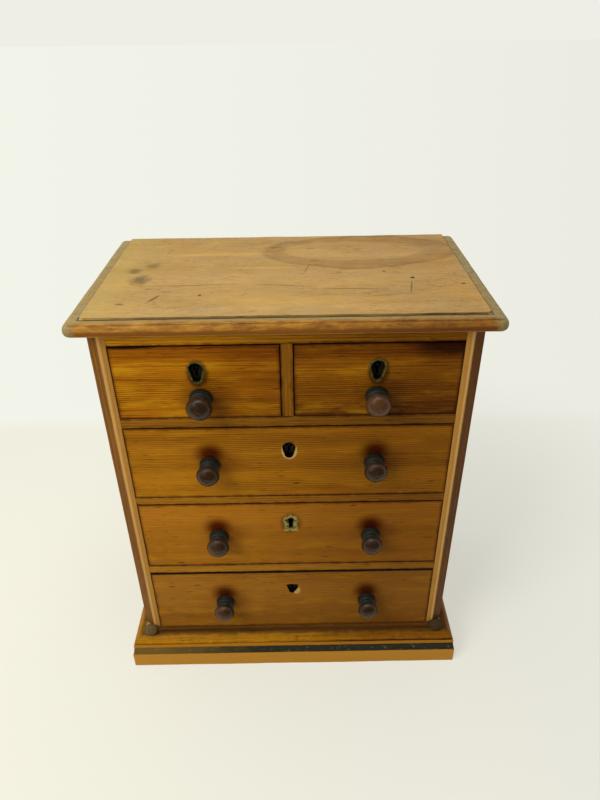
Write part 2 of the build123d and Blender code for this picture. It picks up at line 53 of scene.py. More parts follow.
# ---- Camera: hand-held, a little above the chest, looking down at it ----
# Place and tilt follow from the outlines of the chest in the photograph. The picture is
# taken as 600 x 800, so the lens belongs to a 36 mm sensor along the tall side.
# Place in metres, tilt in radians, picture in pixels, sensor in millimetres.
camera_place = Vector((0.007265, -0.462359, 0.535378))
look_down, turn_right, lean = 0.5609, 0.0045, 0.0133
picture_height, focal_length = 800, 626.06
sensor_side = 36
bpy.ops.object.camera_add()
camera = bpy.context.object
camera.data.lens = focal_length / picture_height * sensor_side
camera.data.sensor_width = sensor_side
camera.matrix_world = (
    Matrix.Translation(camera_place)
    @ Matrix.Rotation(-turn_right, 4, "Z")
    @ Matrix.Rotation(math.pi / 2 - look_down, 4, "X")
    @ Matrix.Rotation(-lean, 4, "Z")
)
scene.camera = camera


# ---- Studio: white card under and behind the chest, soft light from the upper left ----
# The card is matt. Far from the chest it only shows its own pale colour, a little lighter
# where it curves up behind.
def linear(hex_colour):
    """An sRGB hex colour as linear red, green, blue and alpha."""
    parts = [int(hex_colour[i:i + 2], 16) / 255 for i in (1, 3, 5)]
    return (*[p / 12.92 if p <= 0.04045 else ((p + 0.055) / 1.055) ** 2.4 for p in parts], 1)


def node(material, kind, inputs=(), out=0, stops=(), **settings):
    """Adds a node with its settings, constant or linked inputs and colour stops."""
    made = material.node_tree.nodes.new(kind)
    for name, value in settings.items():
        setattr(made, name, value)
    for key, value in dict(inputs).items():
        if isinstance(value, bpy.types.NodeSocket):
            material.node_tree.links.new(value, made.inputs[key])
        else:
            made.inputs[key].default_value = value
    for number, (place, colour) in enumerate(stops):
        ramp = made.color_ramp.elements
        stop = ramp[number] if number < len(ramp) else ramp.new(place)
        stop.position, stop.color = place, colour
    return made.outputs[out] if made.outputs and out is not None else made


def new_material(name):
    """An empty material with only its output node."""
    material = bpy.data.materials.new(name)
    material.use_nodes = True
    material.node_tree.nodes.clear()
    return material


def seen_directly(material):
    """1 where the camera, a gloss reflection or glass looks at the surface, 0 for its light."""
    path = node(material, "ShaderNodeLightPath", out=None)
    seen = node(material, "ShaderNodeMath", {0: path.outputs["Is Camera Ray"],
                1: path.outputs["Is Glossy Ray"]}, operation="MAXIMUM")
    return node(material, "ShaderNodeMath", {0: seen, 1: path.outputs["Is Transmission Ray"]},
                operation="MAXIMUM")


# Seen from the viewer's place in front, the card is painted whiter at the left and greyer at the
# right, as the light falls from the left. It curves up behind the chest, and takes the chest's
# shadow inside the shadow's reach.
viewer_distance, nearest = 0.75, 0.25
curve_start, curve_end = 0.315, 0.345
shadow_reach, lit_reach = 0.30, 0.62
card = new_material("matt_white_card")
place = node(card, "ShaderNodeTexCoord", out="Object")
away = node(card, "ShaderNodeVectorMath", {0: place}, out="Value", operation="LENGTH")
parts = node(card, "ShaderNodeSeparateXYZ", {0: place}, out=None)
depth = node(card, "ShaderNodeMath", {0: parts.outputs["Y"], 1: viewer_distance}, operation="ADD")
depth = node(card, "ShaderNodeMath", {0: depth, 1: nearest}, operation="MAXIMUM")
side = node(card, "ShaderNodeMath", {0: parts.outputs["X"], 1: depth}, operation="DIVIDE")
painted_falloff = node(card, "ShaderNodeMapRange", {"Value": side, "From Min": -0.5, "From Max": 0.5})
rise = node(card, "ShaderNodeMapRange", {"Value": parts.outputs["Y"], "From Min": curve_start,
            "From Max": curve_end})
floor_tone = node(card, "ShaderNodeMix", {0: painted_falloff, 6: linear("#f0eedf"), 7: linear("#e9e8de")},
                  out=2, data_type="RGBA")
wall_tone = node(card, "ShaderNodeMix", {0: painted_falloff, 6: linear("#f3f5ea"), 7: linear("#ebeae2")},
                 out=2, data_type="RGBA")
tone = node(card, "ShaderNodeMix", {0: rise, 6: floor_tone, 7: wall_tone}, out=2, data_type="RGBA")
far = node(card, "ShaderNodeMapRange", {"Value": away, "From Min": shadow_reach, "From Max": lit_reach},
           interpolation_type="SMOOTHSTEP")
share = node(card, "ShaderNodeMapRange", {"Value": far, "To Min": 0.62, "To Max": 1.0})
plain = node(card, "ShaderNodeMath", {0: share, 1: seen_directly(card)}, operation="MULTIPLY")
lit = node(card, "ShaderNodeBsdfDiffuse", {"Color": tone, "Roughness": 1.0})
glow = node(card, "ShaderNodeEmission", {"Color": tone, "Strength": 1.0})
mixed = node(card, "ShaderNodeMixShader", {0: plain, 1: lit, 2: glow})
node(card, "ShaderNodeOutputMaterial", {"Surface": mixed})

bpy.ops.mesh.primitive_plane_add(size=24)
floor = bpy.context.object
floor.name = "white_card"
floor.data.materials.append(card)

world = bpy.data.worlds.new("pale_room")
world.use_nodes = True
world.node_tree.nodes.clear()
seen = seen_directly(world)
sky_tone = node(world, "ShaderNodeMix", {0: seen, 6: linear("#e9ecf0"), 7: linear("#efeee6")}, out=2,
                data_type="RGBA")
sky_light = node(world, "ShaderNodeMapRange", {"Value": seen, "To Min": 0.38, "To Max": 1.0})
sky = node(world, "ShaderNodeBackground", {"Color": sky_tone, "Strength": sky_light})
node(world, "ShaderNodeOutputWorld", {"Surface": sky})
scene.world = world

# The unlit room in front of the table, which only shows in the polish of knobs and brass.
dark_room = new_material("unlit_room")
dim = node(dark_room, "ShaderNodeEmission", {"Color": linear("#1d2023"), "Strength": 1.0})
node(dark_room, "ShaderNodeOutputMaterial", {"Surface": dim})
bpy.ops.mesh.primitive_plane_add(size=1, location=(0, -1.0, 0.003))
room = bpy.context.object
room.name = "dark_room"
room.scale = (1.8, 1.1, 1)
bpy.ops.object.transform_apply(location=True, scale=True)
bpy.ops.object.mode_set(mode="EDIT")
bpy.ops.mesh.select_all(action="SELECT")
bpy.ops.mesh.extrude_region_move(TRANSFORM_OT_translate={"value": (0, 0, 0.9)})
bpy.ops.object.mode_set(mode="OBJECT")
room.data.materials.append(dark_room)
for kind_of_ray in ("camera", "diffuse", "transmission", "volume_scatter", "shadow"):
    setattr(room, "visible_" + kind_of_ray, False)

# name, place, aim, size, watts, colour
lamps = [
    ("window_left", (-0.72, -0.78, 1.0), (-0.02, 0, 0.2), 0.6, 9.5, "#fffdf8"),
    ("sky_above", (-0.25, 0.0, 1.8), (0, 0, 0), 1.4, 17.0, "#ffffff"),
    ("room_right", (1.1, -0.9, 0.9), (0, 0, 0.2), 1.0, 0.8, "#fff6e6"),
]
for name, spot, aim, size, watts, colour in lamps:
    bpy.ops.object.light_add(type="AREA", location=spot)
    lamp = bpy.context.object
    lamp.name = name
    lamp.rotation_mode = "QUATERNION"
    lamp.rotation_quaternion = (Vector(aim) - Vector(spot)).to_track_quat("-Z", "Y")
    lamp.data.size = size
    lamp.data.energy = watts
    lamp.data.color = linear(colour)[:3]


# ---- Sides: two pine boards, the front corners canted, a light worn strip beside the drawers ----
# Old pine under worn shellac: honey summer wood, red-brown winter lines, darker grime where
# hands don't rub. The arrises have been rubbed round.
def old_pine(name, pale, mid, dark, along, ring_gap=0.0027, pith=(0, 0.06, 0.03), lines=0.75, dashes=0.5,
             fibres=1.0):
    """Pine sawn along an axis: rings round a distant heart, fibres and blotches, from Object coordinates."""
    wood = SimpleNamespace(material=new_material(name))
    m = wood.material
    axis = "XYZ".index(along)
    wood.place = node(m, "ShaderNodeTexCoord", out="Object")
    grown = node(m, "ShaderNodeMapping", {"Vector": wood.place, "Location": pith,
                 "Scale": [0.05 if i == axis else 1.0 for i in range(3)]})
    rings = node(m, "ShaderNodeTexWave", {"Vector": grown, "Scale": math.tau / (20 * ring_gap),
                 "Distortion": 9.0, "Detail": 2.5, "Detail Scale": 0.22, "Detail Roughness": 0.45},
                 out="Fac", wave_type="RINGS", rings_direction=along, wave_profile="SAW")
    ring_tones = ((0.0, 0.0), (0.45, 0.08), (0.86, 0.85), (1.0, 0.0))
    winter = node(m, "ShaderNodeValToRGB", {"Fac": rings},
                  stops=[(at, (tone, tone, tone, 1)) for at, tone in ring_tones])
    patchy = node(m, "ShaderNodeTexNoise", {"Vector": grown, "Scale": 170.0, "Detail": 3.0}, out="Fac")
    strength = node(m, "ShaderNodeMapRange", {"Value": patchy, "From Min": 0.38, "From Max": 0.66,
                    "To Min": 0.12, "To Max": lines})
    wood.lines = node(m, "ShaderNodeMath", {0: winter, 1: strength}, operation="MULTIPLY")
    broad = node(m, "ShaderNodeTexNoise", {"Vector": grown, "Scale": 26.0, "Detail": 3.0, "Roughness": 0.6},
                 out="Fac")
    blotch = node(m, "ShaderNodeMapRange", {"Value": broad, "From Min": 0.36, "From Max": 0.66})
    base = node(m, "ShaderNodeMix", {0: blotch, 6: linear(pale), 7: linear(mid)}, out=2, data_type="RGBA")
    base = node(m, "ShaderNodeMix", {0: wood.lines, 6: base, 7: linear(dark)}, out=2, data_type="RGBA")
    # fibres 0.2 to 0.7 mm wide, drawn coarser than real so that they show
    fine = node(m, "ShaderNodeMapping", {"Vector": wood.place,
                "Scale": [0.03 if i == axis else 1.0 for i in range(3)]})
    fibre = node(m, "ShaderNodeTexNoise", {"Vector": fine, "Scale": 1500.0, "Detail": 2.0,
                 "Roughness": 0.7}, out="Fac")
    wood.fibre = node(m, "ShaderNodeMapRange", {"Value": fibre, "From Min": 0.3, "From Max": 0.7})
    shade = node(m, "ShaderNodeMapRange", {"Value": fibre, "From Min": 0.3, "From Max": 0.72,
                 "To Min": 1 + 0.25 * fibres, "To Max": 1 - 0.32 * fibres})
    base = node(m, "ShaderNodeVectorMath", {0: base, 1: shade}, operation="MULTIPLY")
    # short dark dashes of resin and dirt lying in the grain
    speck = node(m, "ShaderNodeMapping", {"Vector": wood.place, "Location": (0.31, 0.17, 0.05),
                 "Scale": [0.13 if i == axis else 1.0 for i in range(3)]})
    dash = node(m, "ShaderNodeTexNoise", {"Vector": speck, "Scale": 620.0, "Detail": 1.0}, out="Fac")
    dash = node(m, "ShaderNodeMapRange", {"Value": dash, "From Min": 0.66, "From Max": 0.76,
                "To Max": dashes})
    wood.colour = node(m, "ShaderNodeMix", {0: dash, 6: base, 7: linear("#2b1504")}, out=2,
                       data_type="RGBA")
    wood.height = node(m, "ShaderNodeMath", {0: wood.fibre, 1: 0.35, 2: wood.lines},
                       operation="MULTIPLY_ADD")
    return wood


def patch(wood, centre, size, turn=(0, 0, 0), soft=0.3, ragged=0.0, grain=60.0):
    """A mask of an oval patch on the board: 1 inside, 0 outside, with a soft and ragged edge."""
    m = wood.material
    local = node(m, "ShaderNodeMapping", {"Vector": wood.place, "Location": centre, "Rotation": turn,
                 "Scale": size}, vector_type="TEXTURE")
    reach = node(m, "ShaderNodeVectorMath", {0: local}, out="Value", operation="LENGTH")
    if ragged:
        rough = node(m, "ShaderNodeTexNoise", {"Vector": wood.place, "Scale": grain, "Detail": 4.0},
                     out="Fac")
        reach = node(m, "ShaderNodeMath", {0: rough, 1: ragged, 2: reach}, operation="MULTIPLY_ADD")
        reach = node(m, "ShaderNodeMath", {0: reach, 1: -ragged / 2}, operation="ADD")
    return node(m, "ShaderNodeMapRange", {"Value": reach, "From Min": 1 - soft, "From Max": 1 + soft,
                "To Min": 1.0, "To Max": 0.0}, interpolation_type="SMOOTHSTEP")


def stain(wood, mask, colour, amount=1.0):
    """Multiplies a stain into the wood's colour where the mask is."""
    m = wood.material
    share = node(m, "ShaderNodeMath", {0: mask, 1: amount}, operation="MULTIPLY")
    wood.colour = node(m, "ShaderNodeMix", {0: share, 6: wood.colour, 7: linear(colour)}, out=2,
                       data_type="RGBA", blend_type="MULTIPLY")


def cover(wood, mask, colour, amount=1.0):
    """Lays dust, grime or bare wood over the wood's colour where the mask is."""
    m = wood.material
    share = node(m, "ShaderNodeMath", {0: mask, 1: amount}, operation="MULTIPLY")
    wood.colour = node(m, "ShaderNodeMix", {0: share, 6: wood.colour, 7: linear(colour)}, out=2,
                       data_type="RGBA")


def near_edges(wood, low, high, axes="XZ", reach=0.0025):
    """A ragged mask along the edges of a rectangle: 1 at the edge, 0 from reach inwards."""
    m = wood.material
    split = node(m, "ShaderNodeSeparateXYZ", {0: wood.place}, out=None)
    depth = None
    for axis in axes:
        i = "XYZ".index(axis)
        off = node(m, "ShaderNodeMath", {0: split.outputs[axis], 1: (low[i] + high[i]) / 2},
                   operation="SUBTRACT")
        off = node(m, "ShaderNodeMath", {0: off}, operation="ABSOLUTE")
        off = node(m, "ShaderNodeMath", {0: (high[i] - low[i]) / 2, 1: off}, operation="SUBTRACT")
        depth = off if depth is None else node(m, "ShaderNodeMath", {0: depth, 1: off}, operation="MINIMUM")
    rough = node(m, "ShaderNodeTexNoise", {"Vector": wood.place, "Scale": 140.0, "Detail": 4.0}, out="Fac")
    depth = node(m, "ShaderNodeMath", {0: rough, 1: -1.6 * reach, 2: depth}, operation="MULTIPLY_ADD")
    return node(m, "ShaderNodeMapRange", {"Value": depth, "From Min": -0.8 * reach, "From Max": 0.35 * reach,
                "To Min": 1.0, "To Max": 0.0}, interpolation_type="SMOOTHSTEP")


def band(wood, axis, start, end, ragged=0.0, grain=90.0):
    """A mask that rises from 0 at start to 1 at end along one axis, with a ragged line."""
    m = wood.material
    split = node(m, "ShaderNodeSeparateXYZ", {0: wood.place}, out=None)
    value = split.outputs[axis]
    if ragged:
        rough = node(m, "ShaderNodeTexNoise", {"Vector": wood.place, "Scale": grain, "Detail": 4.0},
                     out="Fac")
        value = node(m, "ShaderNodeMath", {0: rough, 1: ragged, 2: value}, operation="MULTIPLY_ADD")
        value = node(m, "ShaderNodeMath", {0: value, 1: -ragged / 2}, operation="ADD")
    return node(m, "ShaderNodeMapRange", {"Value": value, "From Min": start, "From Max": end},
                interpolation_type="SMOOTHSTEP")


def finish_wood(wood, gloss=0.42, matt=0.62, shine=0.25, bump=0.0003):
    """Shellac, wax or bare wood over the colour: sheen, and the raised lines of the grain."""
    m = wood.material
    wear = node(m, "ShaderNodeTexNoise", {"Vector": wood.place, "Scale": 45.0, "Detail": 5.0,
                "Roughness": 0.65}, out="Fac")
    rough = node(m, "ShaderNodeMapRange", {"Value": wear, "From Min": 0.3, "From Max": 0.7, "To Min": gloss,
                 "To Max": matt})
    dents = node(m, "ShaderNodeMath", {0: wear, 1: 1.5, 2: wood.height}, operation="MULTIPLY_ADD")
    normal = node(m, "ShaderNodeBump", {"Strength": 0.6, "Distance": bump, "Height": dents})
    shader = node(m, "ShaderNodeBsdfPrincipled", {"Base Color": wood.colour, "Roughness": rough,
                  "Normal": normal, "IOR": 1.5, "Specular IOR Level": shine}, out="BSDF")
    node(m, "ShaderNodeOutputMaterial", {"Surface": shader})
    return m


def worn_copy(name, arris=0.0005, wear=0.0, spacing=0.006, axes="X", coarse=1):
    """A copy of a sawn board: its facets joined, its arrises rubbed round, its faces a little uneven."""
    bpy.ops.object.select_all(action="DESELECT")
    board = bpy.data.objects.new("worn_" + name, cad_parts[name].data.copy())
    scene.collection.objects.link(board)
    board.select_set(True)
    bpy.context.view_layer.objects.active = board
    bpy.ops.object.mode_set(mode="EDIT")
    bpy.ops.mesh.select_all(action="SELECT")
    bpy.ops.mesh.remove_doubles(threshold=1e-6)
    bpy.ops.mesh.dissolve_limited(angle_limit=math.radians(1))
    bpy.ops.object.mode_set(mode="OBJECT")
    rounded = board.modifiers.new("arris", "BEVEL")
    rounded.width, rounded.segments, rounded.limit_method = arris, 3, "ANGLE"
    rounded.angle_limit = math.radians(40)
    rounded.use_clamp_overlap = True
    bpy.ops.object.modifier_apply(modifier=rounded.name)
    if wear:
        low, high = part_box(name)
        bpy.ops.object.mode_set(mode="EDIT")
        for axis in axes:
            i = "XYZ".index(axis)
            normal = Vector((0, 0, 0))
            normal[i] = 1
            count = int((high[i] - low[i]) / spacing)
            for step in range(1, count):
                cut = Vector((0, 0, 0))
                cut[i] = low[i] + (high[i] - low[i]) * step / count
                bpy.ops.mesh.select_all(action="SELECT")
                bpy.ops.mesh.bisect(plane_co=cut, plane_no=normal)
        bpy.ops.object.mode_set(mode="OBJECT")
        bumps = bpy.data.textures.new("wear_of_" + name, "CLOUDS")
        bumps.noise_scale = 0.02 + 0.002 * coarse
        uneven = board.modifiers.new("wear", "DISPLACE")
        uneven.texture, uneven.strength, uneven.mid_level = bumps, wear, 0.5
        uneven.texture_coords = "LOCAL"
        bpy.ops.object.modifier_apply(modifier=uneven.name)
    bpy.ops.object.shade_smooth_by_angle(angle=math.radians(38))
    flat = board.modifiers.new("flat_faces", "WEIGHTED_NORMAL")
    flat.keep_sharp = True
    bpy.ops.object.modifier_apply(modifier=flat.name)
    board.data.materials.clear()
    return board


def fit(board, body, nodes, slot, *materials):
    """Gives a finished piece its materials and its body, and hides the nodes it stands for; the slot is not
    used.
    """
    for material in materials:
        board.data.materials.append(material)
    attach(board, body)
    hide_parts(*nodes)


def gap_dirt_and_shade(wood, face_y, where=None):
    """Blackens the first millimetres behind the face, the walls of the gaps round a drawer: dirt, and painted
    shade in the gaps.
    """
    m = wood.material
    darkened = node(m, "ShaderNodeMath", {0: band(wood, "Y", face_y + 0.0003, face_y + 0.0009),
                 1: band(wood, "Y", face_y + 0.0060, face_y + 0.0045)}, operation="MULTIPLY")
    if where is not None:
        darkened = node(m, "ShaderNodeMath", {0: darkened, 1: where}, operation="MULTIPLY")
    cover(wood, darkened, "#0d0703", 0.95)


cant_width = 0.0092
opening_half = 0.1255
front_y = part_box("left_side")[0].y
cant_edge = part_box("right_side")[1].x - cant_width
for side, sign in (("left_side", -1), ("right_side", 1)):
    low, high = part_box(side)
    pine = old_pine("shellacked_pine_" + side, "#ad7a33", "#8f5f1c", "#4f2c06", "Z", 0.0031,
                    (0.04 * sign, 0.05, 0))
    # the outer face and the cant have their own tone, with painted shade making the right one darker than the
    # left
    outer = band(pine, "X", sign * cant_edge, sign * (cant_edge + 0.0006))
    stain(pine, outer, "#b0963e" if sign < 0 else "#8c6c2c", 0.7 if sign < 0 else 0.85)
    # the strip beside the drawers is rubbed pale, with a painted highlight along the cant's edge
    face = band(pine, "Y", front_y + 0.0012, front_y + 0.0004)
    inner = band(pine, "X", sign * cant_edge, sign * (cant_edge - 0.0008))
    strip = node(pine.material, "ShaderNodeMath", {0: face, 1: inner}, operation="MULTIPLY")
    cover(pine, strip, "#b98a45", 0.5)
    # a painted highlight on the ridge between the strip and the cant
    before = band(pine, "X", sign * (cant_edge - 0.0022), sign * (cant_edge - 0.0008), 0.0006, 200)
    after = band(pine, "X", sign * (cant_edge + 0.0014), sign * (cant_edge + 0.0002), 0.0006, 200)
    ridge = node(pine.material, "ShaderNodeMath", {0: before, 1: after}, operation="MULTIPLY")
    cover(pine, ridge, "#cf9f5c", 0.7)
    stain(pine, near_edges(pine, (low.x, low.y - 1, low.z), (high.x, high.y, high.z), "Z", 0.004),
          "#7a5520", 0.8)
    by_drawers = band(pine, "X", sign * (opening_half + 0.0004), sign * (opening_half + 0.0001))
    # dirt and painted shade in the gaps beside the drawers
    gap_dirt_and_shade(pine, front_y, by_drawers)
    board = worn_copy(side, 0.0006, 0.0003, 0.008, "Z", 3)
    fit(board, "carcase", [side], "carcase_pine", finish_wood(pine, 0.4, 0.6, 0.05))


# ---- Rails, frieze and divider: thin pine bars housed in the sides, grain along each ----
# The same wood, thinner and dirtier; grime and painted shade lie in the joints with the drawers.
# name: grain along, pale, mid, painted shade at the right end
bars = {"frieze_rail": ("X", "#d89313", "#a56c0d", "#a39684"),
        "upper_rail": ("X", "#976212", "#764b09", "#d0ccc4"),
        "middle_rail": ("X", "#ba811c", "#925b0f", "#d0ccc4"),
        "lower_rail": ("X", "#ad761c", "#87540d", "#d0ccc4"),
        "centre_divider": ("Z", "#8f5c0e", "#6c4208", "#ffffff")}
for number, (name, (along, pale, mid, right_end_shade)) in enumerate(bars.items()):
    low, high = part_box(name)
    pine = old_pine("shellacked_pine_" + name, pale, mid, "#3a1e04", along, 0.0024,
                    (0.02 * number, 0.04, 0.013 * number), 0.8, 0.7)
    edge_axis = "Z" if along == "X" else "X"
    stain(pine, near_edges(pine, low, high, edge_axis, 0.0016), "#5a3a10", 0.85)
    # painted shade towards the right end, as the light falls from the left
    stain(pine, band(pine, "X", -0.09, 0.09), right_end_shade)
    # dirt and painted shade in the gaps by the drawers
    gap_dirt_and_shade(pine, front_y)
    board = worn_copy(name, 0.0004, 0.0002, 0.008, along, number)
    fit(board, "carcase", [name], "carcase_pine", finish_wood(pine, 0.38, 0.6, 0.06))


# ---- Top board: one wide pine board, a round nosing worked on three edges round a raised field ----
# The finish has gone from the field, which is pale, dry and stained by water and ink; the
# nosing keeps its amber shellac, and its ledge and ends show grey-green dust.
low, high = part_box("top_board")
field_inset, front_inset = 0.01075, 0.0095
nose_forward, field_forward, field_rim = 0.003, 0.001, 0.0022
nose_y = low.y - nose_forward
top = old_pine("worn_pine_top", "#ae8c52", "#a5803f", "#80602c", "X", 0.0031, (0.0, 0.02, 0.09),
               lines=0.3, dashes=0.0, fibres=0.6)
m = top.material
# pores and hair cracks: dark dashes a few millimetres long and under 1 mm wide, crowded in places
pores = node(m, "ShaderNodeMapping", {"Vector": top.place, "Scale": (0.16, 1, 1)})
pores = node(m, "ShaderNodeTexNoise", {"Vector": pores, "Scale": 900.0, "Detail": 2.0, "Roughness": 0.6},
             out="Fac")
crowd = node(m, "ShaderNodeTexNoise", {"Vector": top.place, "Scale": 34.0, "Detail": 3.0}, out="Fac")
crowd = node(m, "ShaderNodeMapRange", {"Value": crowd, "From Min": 0.36, "From Max": 0.62, "To Min": 0.25})
pores = node(m, "ShaderNodeMapRange", {"Value": pores, "From Min": 0.57, "From Max": 0.68})
pores = node(m, "ShaderNodeMath", {0: pores, 1: crowd}, operation="MULTIPLY")
stain(top, pores, "#8a5f2c", 0.6)
pits = node(m, "ShaderNodeTexNoise", {"Vector": top.place, "Scale": 1100.0, "Detail": 2.0,
            "Roughness": 0.6}, out="Fac")
pits = node(m, "ShaderNodeMapRange", {"Value": pits, "From Min": 0.58, "From Max": 0.7})
pits = node(m, "ShaderNodeMath", {0: pits, 1: crowd}, operation="MULTIPLY")
stain(top, pits, "#75501f", 0.6)
clouds = node(m, "ShaderNodeMapping", {"Vector": top.place, "Scale": (0.45, 1, 1)})
clouds = node(m, "ShaderNodeTexNoise", {"Vector": clouds, "Scale": 42.0, "Detail": 5.0, "Roughness": 0.7},
              out="Fac")
yellower = node(m, "ShaderNodeMapRange", {"Value": clouds, "From Min": 0.5, "From Max": 0.72})
greyer = node(m, "ShaderNodeMapRange", {"Value": clouds, "From Min": 0.46, "From Max": 0.3})
cover(top, yellower, "#c69a4e", 0.45)
cover(top, greyer, "#957a4a", 0.4)
split = node(m, "ShaderNodeSeparateXYZ", {0: top.place}, out=None)
in_x = node(m, "ShaderNodeMath", {0: split.outputs["X"]}, operation="ABSOLUTE")
in_x = node(m, "ShaderNodeMath", {0: high.x - field_inset, 1: in_x}, operation="SUBTRACT")
in_y = node(m, "ShaderNodeMath", {0: split.outputs["Y"], 1: nose_y + front_inset}, operation="SUBTRACT")
inside = node(m, "ShaderNodeMath", {0: in_x, 1: in_y}, operation="MINIMUM")
on_nosing = node(m, "ShaderNodeMapRange", {"Value": inside, "From Min": 0.0, "From Max": -0.0006},
                 interpolation_type="SMOOTHSTEP")


def top_patch(x, y, a, b, turn=0, **edge):
    """A patch on the top: centre and half sizes in millimetres, turn in degrees."""
    return patch(top, (x / 1000, y / 1000, 0), (a / 1000, b / 1000, 10), (0, 0, math.radians(turn)), **edge)


# cracks and scratches: centre, half length, half width, turn, depth of colour
cracks = [
    (-94.3, -45.5, 7.0, 0.7, 62, 1.0), (-2.6, -23.8, 20.0, 0.5, -8, 0.7), (45.8, -31.5, 30.0, 0.5, -4, 0.75),
    (-70.0, -21.0, 42.0, 0.45, 2, 0.6), (15.9, 9.8, 12.0, 0.5, 75, 0.45), (-112.6, -19.4, 7.0, 0.5, -30, 0.6),
    (92.1, -30.5, 11.0, 0.6, 80, 0.6), (-48.0, 44.1, 10.0, 0.4, 55, 0.5), (-60.0, 70.0, 9.0, 0.4, 70, 0.4),
    (-30.0, -40.0, 4.0, 0.5, 50, 0.5), (-88.0, -33.0, 4.5, 0.5, 5, 0.7), (70.0, -45.0, 14.0, 0.4, 8, 0.5),
]
for x, y, long, wide, turn, amount in cracks:
    stain(top, top_patch(x, y, long, wide, turn, soft=0.45, ragged=0.9, grain=130), "#54330f", amount)
# ink dots and burns: centre, half sizes, depth of colour
dots = [
    (95.8, -11.5, 1.7, 1.9, 1.0), (75.9, 2.0, 1.2, 1.2, 0.9), (131.4, -25.0, 1.8, 1.0, 1.0),
    (40.8, 0.3, 2.4, 0.9, 0.7), (-116.4, -54.2, 3.0, 1.3, 0.8), (-62.2, -40.2, 1.3, 1.1, 1.0),
    (-75.0, 30.0, 1.6, 0.8, 0.5), (118.0, 40.0, 3.0, 0.8, 0.5), (60.0, 55.0, 2.5, 0.8, 0.5),
    (-10.0, 62.0, 5.0, 0.8, 0.5), (20.0, 58.0, 4.0, 0.9, 0.5),
]
for x, y, a, b, amount in dots:
    stain(top, top_patch(x, y, a, b, soft=0.4, ragged=0.7, grain=300), "#452608", amount)
# the three dark water spots at the left, ragged and half rubbed away
spots = [(-119.4, 9.5, 4.5, 5.0, 0.75), (-111.2, -9.5, 7.0, 8.0, 0.8), (-107.3, 22.4, 6.0, 6.0, 0.5)]
for x, y, a, b, amount in spots:
    stain(top, top_patch(x, y, a, b, soft=0.7, ragged=1.6, grain=200), "#6a5230", amount)
# the big tide mark at the back right: an olive band between two thin dark rims
outer_water = top_patch(62.6, 50.0, 80.0, 41.5, soft=0.05, ragged=0.35, grain=24)
inner_water = top_patch(56.0, 53.0, 61.0, 27.0, soft=0.07, ragged=0.45, grain=30)
olive = node(m, "ShaderNodeMath", {0: outer_water, 1: inner_water}, operation="SUBTRACT", use_clamp=True)
stain(top, olive, "#c8b88c", 0.45)
for x, y, a, b, thick, grain in ((62.6, 50.0, 80.0, 41.5, 2.4, 24), (56.0, 53.0, 61.0, 27.0, 2.0, 30)):
    wide = top_patch(x, y, a, b, soft=0.05, ragged=0.35, grain=grain)
    slim = top_patch(x, y, a - thick, b - thick, soft=0.08, ragged=0.35, grain=grain)
    rim = node(m, "ShaderNodeMath", {0: wide, 1: slim}, operation="SUBTRACT", use_clamp=True)
    stain(top, rim, "#9a7c4c", 0.4)
# yellow streaks, a browner right half and an olive left end
streaks = [(-60.0, 47.0, 42.0, 3.5, 0.5), (-20.0, 14.0, 24.0, 3.0, 0.45), (20.0, -52.0, 60.0, 6.0, 0.3)]
for x, y, a, b, amount in streaks:
    cover(top, top_patch(x, y, a, b, soft=0.6, ragged=0.9, grain=60), "#c7983c", amount)
stain(top, band(top, "X", 0.0, 0.16, 0.03), "#e6d6c0", 0.5)
cover(top, band(top, "X", -0.09, -0.14, 0.02), "#ab9346", 0.35)
# amber nosing: streaked along its length, painted shade with some dirt on its lower half, a pale lower edge,
# painted shade towards the right end
streak = node(m, "ShaderNodeMapping", {"Vector": top.place, "Scale": (0.3, 1, 1)})
streak = node(m, "ShaderNodeTexNoise", {"Vector": streak, "Scale": 190.0, "Detail": 5.0, "Roughness": 0.75},
              out="Fac")
share = node(m, "ShaderNodeMapRange", {"Value": streak, "From Min": 0.38, "From Max": 0.64})
amber = node(m, "ShaderNodeMix", {0: share, 6: linear("#7a4a0c"), 7: linear("#ae7c26")}, out=2,
             data_type="RGBA")
# painted shade, partly dirt, on the nosing's lower half, then a pale line at its lower edge
for start, end, ragged, colour in ((0.3550, 0.3532, 0.0016, "#7c4804"), (0.3512, 0.3503, 0.0010, "#b9822c")):
    below = band(top, "Z", start, end, ragged, 160)
    amber = node(m, "ShaderNodeMix", {0: below, 6: amber, 7: linear(colour)}, out=2, data_type="RGBA")
darker = node(m, "ShaderNodeVectorMath", {0: amber, 1: (0.66, 0.58, 0.55)}, operation="MULTIPLY")
right_end_shade = band(top, "X", 0.0, 0.11, 0.04)
amber = node(m, "ShaderNodeMix", {0: right_end_shade, 6: amber, 7: darker}, out=2, data_type="RGBA")
top.colour = node(m, "ShaderNodeMix", {0: on_nosing, 6: top.colour, 7: amber}, out=2, data_type="RGBA")
# grey-green dust on the ends and on the ledge, ragged where hands reach it
rough = node(m, "ShaderNodeTexNoise", {"Vector": top.place, "Scale": 210.0, "Detail": 6.0,
             "Roughness": 0.75}, out="Fac")
ends = node(m, "ShaderNodeMath", {0: rough, 1: 0.016, 2: in_x}, operation="MULTIPLY_ADD")
ends = node(m, "ShaderNodeMapRange", {"Value": ends, "From Min": 0.0085, "From Max": 0.003})
ledge = node(m, "ShaderNodeMapRange", {"Value": inside, "From Min": -0.0060, "From Max": -0.0035})
off_field = node(m, "ShaderNodeMapRange", {"Value": inside, "From Min": 0.0, "From Max": -0.0004})
ledge = node(m, "ShaderNodeMath", {0: ledge, 1: off_field}, operation="MULTIPLY")
dusty = node(m, "ShaderNodeMath", {0: ends, 1: on_nosing}, operation="MULTIPLY")
dusty = node(m, "ShaderNodeMath", {0: dusty, 1: ledge}, operation="MAXIMUM")
left_on = node(m, "ShaderNodeMapRange", {"Value": rough, "From Min": 0.36, "From Max": 0.56, "To Min": 0.35})
dusty = node(m, "ShaderNodeMath", {0: dusty, 1: left_on}, operation="MULTIPLY")
cover(top, dusty, "#8c8254", 0.85)
